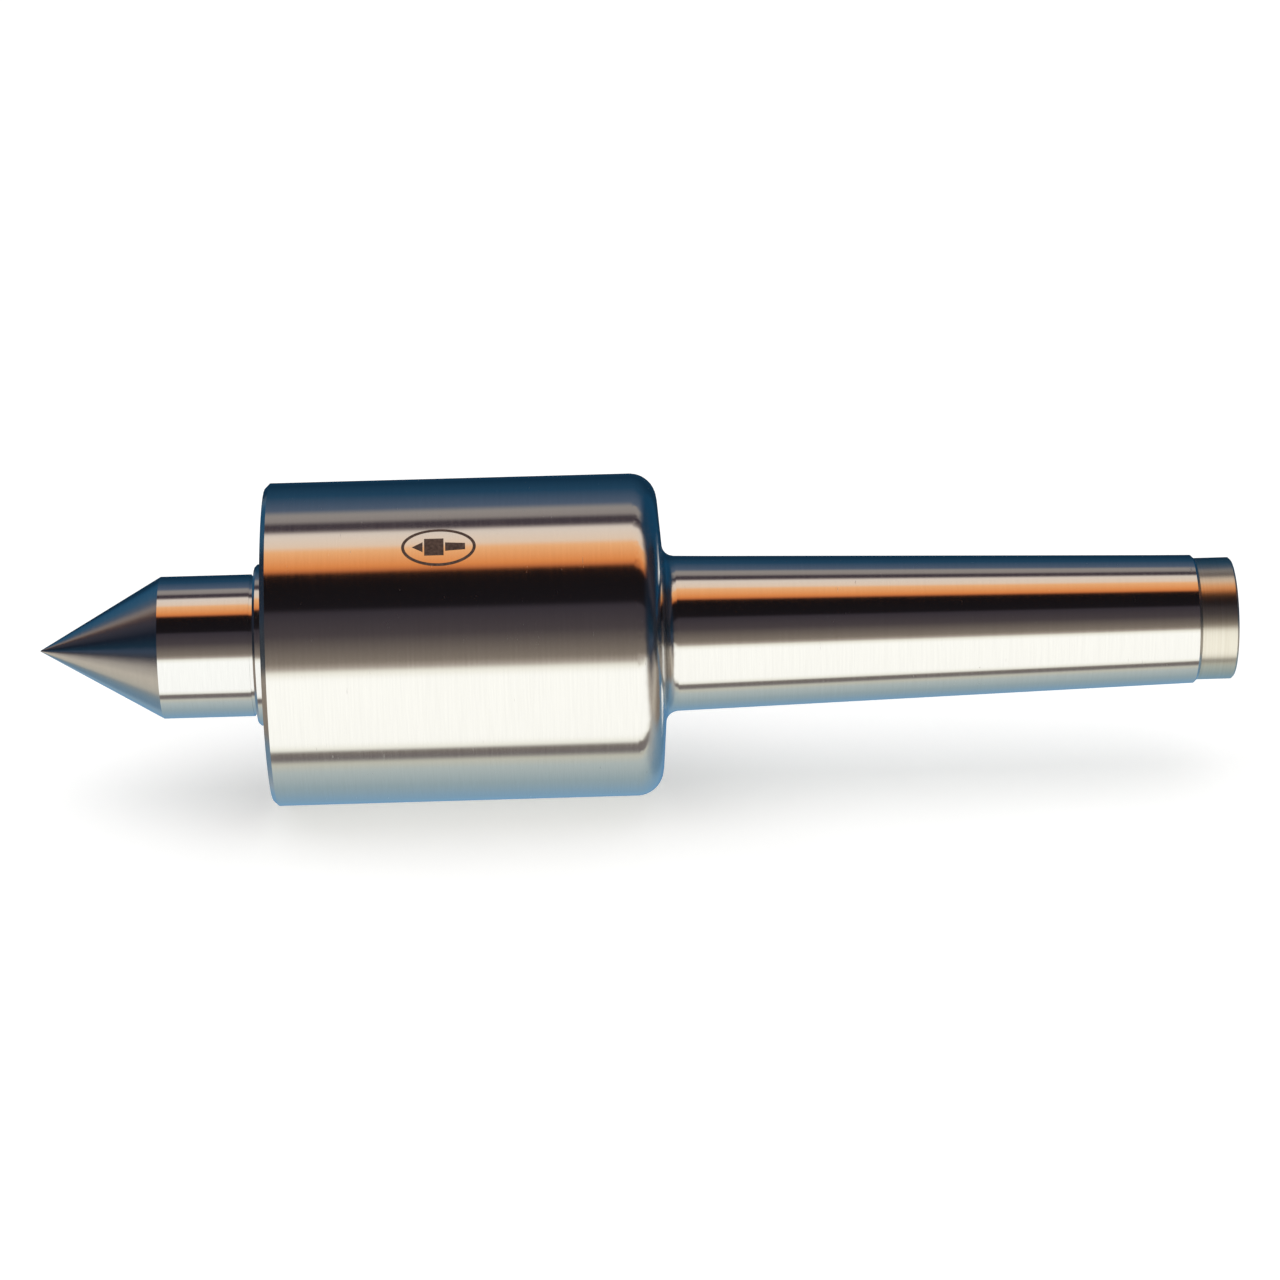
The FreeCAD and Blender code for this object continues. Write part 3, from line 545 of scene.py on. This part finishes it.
world = bpy.data.worlds.new("studio")
bpy.context.scene.world = world
world.use_nodes = True
world.cycles.sampling_method = "NONE"
tree = world.node_tree
tree.nodes.clear()
direction = add(tree, "ShaderNodeTexCoord").outputs["Generated"]
parts = add(tree, "ShaderNodeSeparateXYZ", {0: direction})
forward = add(tree, "ShaderNodeMath", {0: parts.outputs["Y"], 1: -1.0}, operation="MULTIPLY")
height = add(
    tree, "ShaderNodeMath", {0: parts.outputs["Z"], 1: forward.outputs[0]}, operation="ARCTAN2"
)
turns = add(
    tree,
    "ShaderNodeMath",
    {0: height.outputs[0], 1: 1 / math.tau, 2: -dome_start / 360},
    operation="MULTIPLY_ADD",
)
turns = add(tree, "ShaderNodeMath", {0: turns.outputs[0]}, operation="FRACT")
middle = add(
    tree,
    "ShaderNodeValToRGB",
    {0: turns.outputs[0]},
    stops=dome_stops(
        [
            (-160, "#43698a"),
            (-144, "#6687a0"),
            (-124, "#7893a5"),
            (-105, "#8c9ea4"),
            (-84, "#a9b3b2"),
            (-75, "#bcbbae"),
            (-71, "#6a6465"),
            (-64, "#716963"),
            (-61.5, "#ecebe0"),
            (-56, "#fafaf5"),
            (-6, "#fcfcf7"),
            (-1, "#eae8dc"),
            (2, "#a0958a"),
            (6, "#7c7268"),
            (25, "#463f41"),
            (41, "#363137"),
            (44, "#181518"),
            (70, "#110f10"),
            (71.5, "#b3633a"),
            (75, "#d98549"),
            (88.5, "#e6ab76"),
            (92, "#dcc4ae"),
            (103.5, "#d6cabf"),
            (106.5, "#544a4f"),
            (108.5, "#3d353b"),
            (113, "#3d353b"),
            (116.5, "#877f7c"),
            (123.5, "#8d8783"),
            (129, "#4c596c"),
            (149, "#203f57"),
            (172, "#102a3e"),
        ]
    ),
)
left_end = add(
    tree,
    "ShaderNodeValToRGB",
    {0: turns.outputs[0]},
    stops=dome_stops(
        [
            (-160, "#8f9aa1"),
            (-136, "#8b949a"),
            (-122, "#5e7a90"),
            (-103, "#6b808e"),
            (-92, "#7a8487"),
            (-84, "#aaa599"),
            (-62, "#b6aea0"),
            (-49, "#afa899"),
            (-35, "#979087"),
            (-21, "#6c6664"),
            (-8, "#33363f"),
            (10, "#344152"),
            (25, "#182d3d"),
            (56, "#151d29"),
            (70, "#25252d"),
            (85, "#403a3f"),
            (98, "#69544c"),
            (108, "#85776f"),
            (113, "#7d736e"),
            (124, "#4a5462"),
            (138, "#2e5069"),
            (172, "#144260"),
            (184, "#83929d"),
        ]
    ),
)
right_end = add(
    tree,
    "ShaderNodeValToRGB",
    {0: turns.outputs[0]},
    stops=dome_stops(
        [
            (-160, "#3f6785"),
            (-136, "#5b7a91"),
            (-110, "#6f8797"),
            (-85, "#929a9d"),
            (-55, "#a39a8e"),
            (-15, "#978d81"),
            (5, "#2c323d"),
            (30, "#1a2532"),
            (65, "#1a1c24"),
            (85, "#2a2a33"),
            (110, "#1d3448"),
            (150, "#143a55"),
            (190, "#143a55"),
        ]
    ),
)
# What a 45 degree chamfer mirrors, and the middle of the point.
far_ends = add(
    tree,
    "ShaderNodeValToRGB",
    {0: turns.outputs[0]},
    stops=dome_stops(
        [
            (-125, "#776d64"),
            (-95, "#80756a"),
            (-78, "#a0978a"),
            (-62, "#b3ab9e"),
            (-35, "#979087"),
            (-21, "#6c6664"),
            (-8, "#33363f"),
            (10, "#344152"),
            (25, "#182d3d"),
            (56, "#151d29"),
            (85, "#35343c"),
            (115, "#27242a"),
            (150, "#182431"),
        ]
    ),
)
# The strips overhead and the dark room in front reach further to the sides than the drop behind does.
room_middle = math.radians(15)
off_front = add(tree, "ShaderNodeMath", {0: height.outputs[0], 1: room_middle}, operation="SUBTRACT")
off_front = add(tree, "ShaderNodeMath", {0: off_front.outputs[0]}, operation="ABSOLUTE").outputs[0]
sideways = add(tree, "ShaderNodeMath", {0: parts.outputs["X"]}, operation="ABSOLUTE").outputs[0]
reach = add(
    tree,
    "ShaderNodeMapRange",
    {
        "Value": off_front,
        "From Min": math.radians(72),
        "From Max": math.radians(98),
        "To Min": 0.24,
        "To Max": 0.0,
    },
)
past_reach = add(tree, "ShaderNodeMath", {0: sideways, 1: reach.outputs[0]}, operation="SUBTRACT")
near_end = add(
    tree,
    "ShaderNodeMapRange",
    {"Value": past_reach.outputs[0], "From Min": 0.34, "From Max": 0.52},
    interpolation_type="SMOOTHSTEP",
)
to_right = add(tree, "ShaderNodeMath", {0: parts.outputs["X"], 1: 0.0}, operation="GREATER_THAN")
either_end = add(
    tree,
    "ShaderNodeMix",
    {0: to_right.outputs[0], 6: left_end.outputs[0], 7: right_end.outputs[0]},
    data_type="RGBA",
)
to_end = add(
    tree,
    "ShaderNodeMix",
    {0: near_end.outputs[0], 6: middle.outputs[0], 7: either_end.outputs[2]},
    data_type="RGBA",
)
# A white screen stands behind at each side of the drop.
screen_sideways = 0.68
screen_height = add(
    tree,
    "ShaderNodeValToRGB",
    {0: turns.outputs[0]},
    stops=dome_stops(
        [
            (-160, "#ffffff"),
            (-147, "#ffffff"),
            (-142, "#000000"),
            (184, "#000000"),
            (190, "#ffffff"),
        ]
    ),
)
off_screen = add(tree, "ShaderNodeMath", {0: sideways, 1: screen_sideways}, operation="SUBTRACT")
off_screen = add(tree, "ShaderNodeMath", {0: off_screen.outputs[0]}, operation="ABSOLUTE")
screen_width = add(
    tree,
    "ShaderNodeMapRange",
    {"Value": off_screen.outputs[0], "From Min": 0.07, "From Max": 0.11, "To Min": 1.0, "To Max": 0.0},
)
screen = add(
    tree,
    "ShaderNodeMath",
    {0: screen_height.outputs[0], 1: screen_width.outputs[0]},
    operation="MULTIPLY",
)
to_end = add(
    tree,
    "ShaderNodeMix",
    {0: screen.outputs[0], 6: to_end.outputs[2], 7: linear("#f6f6f0")},
    data_type="RGBA",
)
at_end = add(
    tree,
    "ShaderNodeMapRange",
    {"Value": sideways, "From Min": 0.75, "From Max": 0.85},
    interpolation_type="SMOOTHSTEP",
)
not_behind = add(
    tree,
    "ShaderNodeMapRange",
    {
        "Value": off_front,
        "From Min": math.radians(138),
        "From Max": math.radians(148),
        "To Min": 1.0,
        "To Max": 0.0,
    },
)
far_share = add(
    tree, "ShaderNodeMath", {0: at_end.outputs[0], 1: not_behind.outputs[0]}, operation="MULTIPLY"
)
dome = add(
    tree,
    "ShaderNodeMix",
    {0: far_share.outputs[0], 6: to_end.outputs[2], 7: far_ends.outputs[0]},
    data_type="RGBA",
)
# At either end of the axis there is only a dark doorway.
at_pole = add(
    tree,
    "ShaderNodeMapRange",
    {"Value": sideways, "From Min": 0.972, "From Max": 0.99},
    interpolation_type="SMOOTHSTEP",
)
dome = add(
    tree,
    "ShaderNodeMix",
    {0: at_pole.outputs[0], 6: dome.outputs[2], 7: linear("#23262d")},
    data_type="RGBA",
)
mirrored = add(tree, "ShaderNodeBackground", {"Color": dome.outputs[2], "Strength": 1.75})
plain = add(tree, "ShaderNodeBackground", {"Color": linear("#fbfbfc"), "Strength": 0.75})
ray = add(tree, "ShaderNodeLightPath")
surface = add(
    tree,
    "ShaderNodeMixShader",
    {0: ray.outputs["Is Glossy Ray"], 1: plain.outputs[0], 2: mirrored.outputs[0]},
)
add(tree, "ShaderNodeOutputWorld", {"Surface": surface.outputs[0]})

light_data = bpy.data.lights.new("overhead_softbox", "AREA")
light_data.shape = "RECTANGLE"
light_data.size = 2.4
light_data.size_y = 1.6
light_data.energy = 6.0
light = bpy.data.objects.new("overhead_softbox", light_data)
bpy.context.scene.collection.objects.link(light)
light.location = (-0.1, -0.2, 1.6)
light.visible_glossy = False

camera_data = bpy.data.cameras.new("camera")
camera_data.lens = 120.0
camera_data.sensor_width = 36.0
camera = bpy.data.objects.new("camera", camera_data)
bpy.context.scene.collection.objects.link(camera)
bpy.context.scene.camera = camera
camera_distance = 0.861
camera_azimuth = math.radians(-1.3)
camera_elevation = math.radians(20.0)
camera_roll = math.radians(-1.17)
aim = Vector((-8.3 * MM, 0, 0))
back = Vector(
    (
        math.sin(camera_azimuth) * math.cos(camera_elevation),
        -math.cos(camera_azimuth) * math.cos(camera_elevation),
        math.sin(camera_elevation),
    )
)
turn = (-back).to_track_quat("-Z", "Y").to_matrix().to_4x4() @ Matrix.Rotation(camera_roll, 4, "Z")
drop = turn @ Vector((0, -1.15 * MM, 0))
camera.matrix_world = Matrix.Translation(aim + back * camera_distance + drop) @ turn

bpy.context.scene.view_settings.view_transform = "Standard"
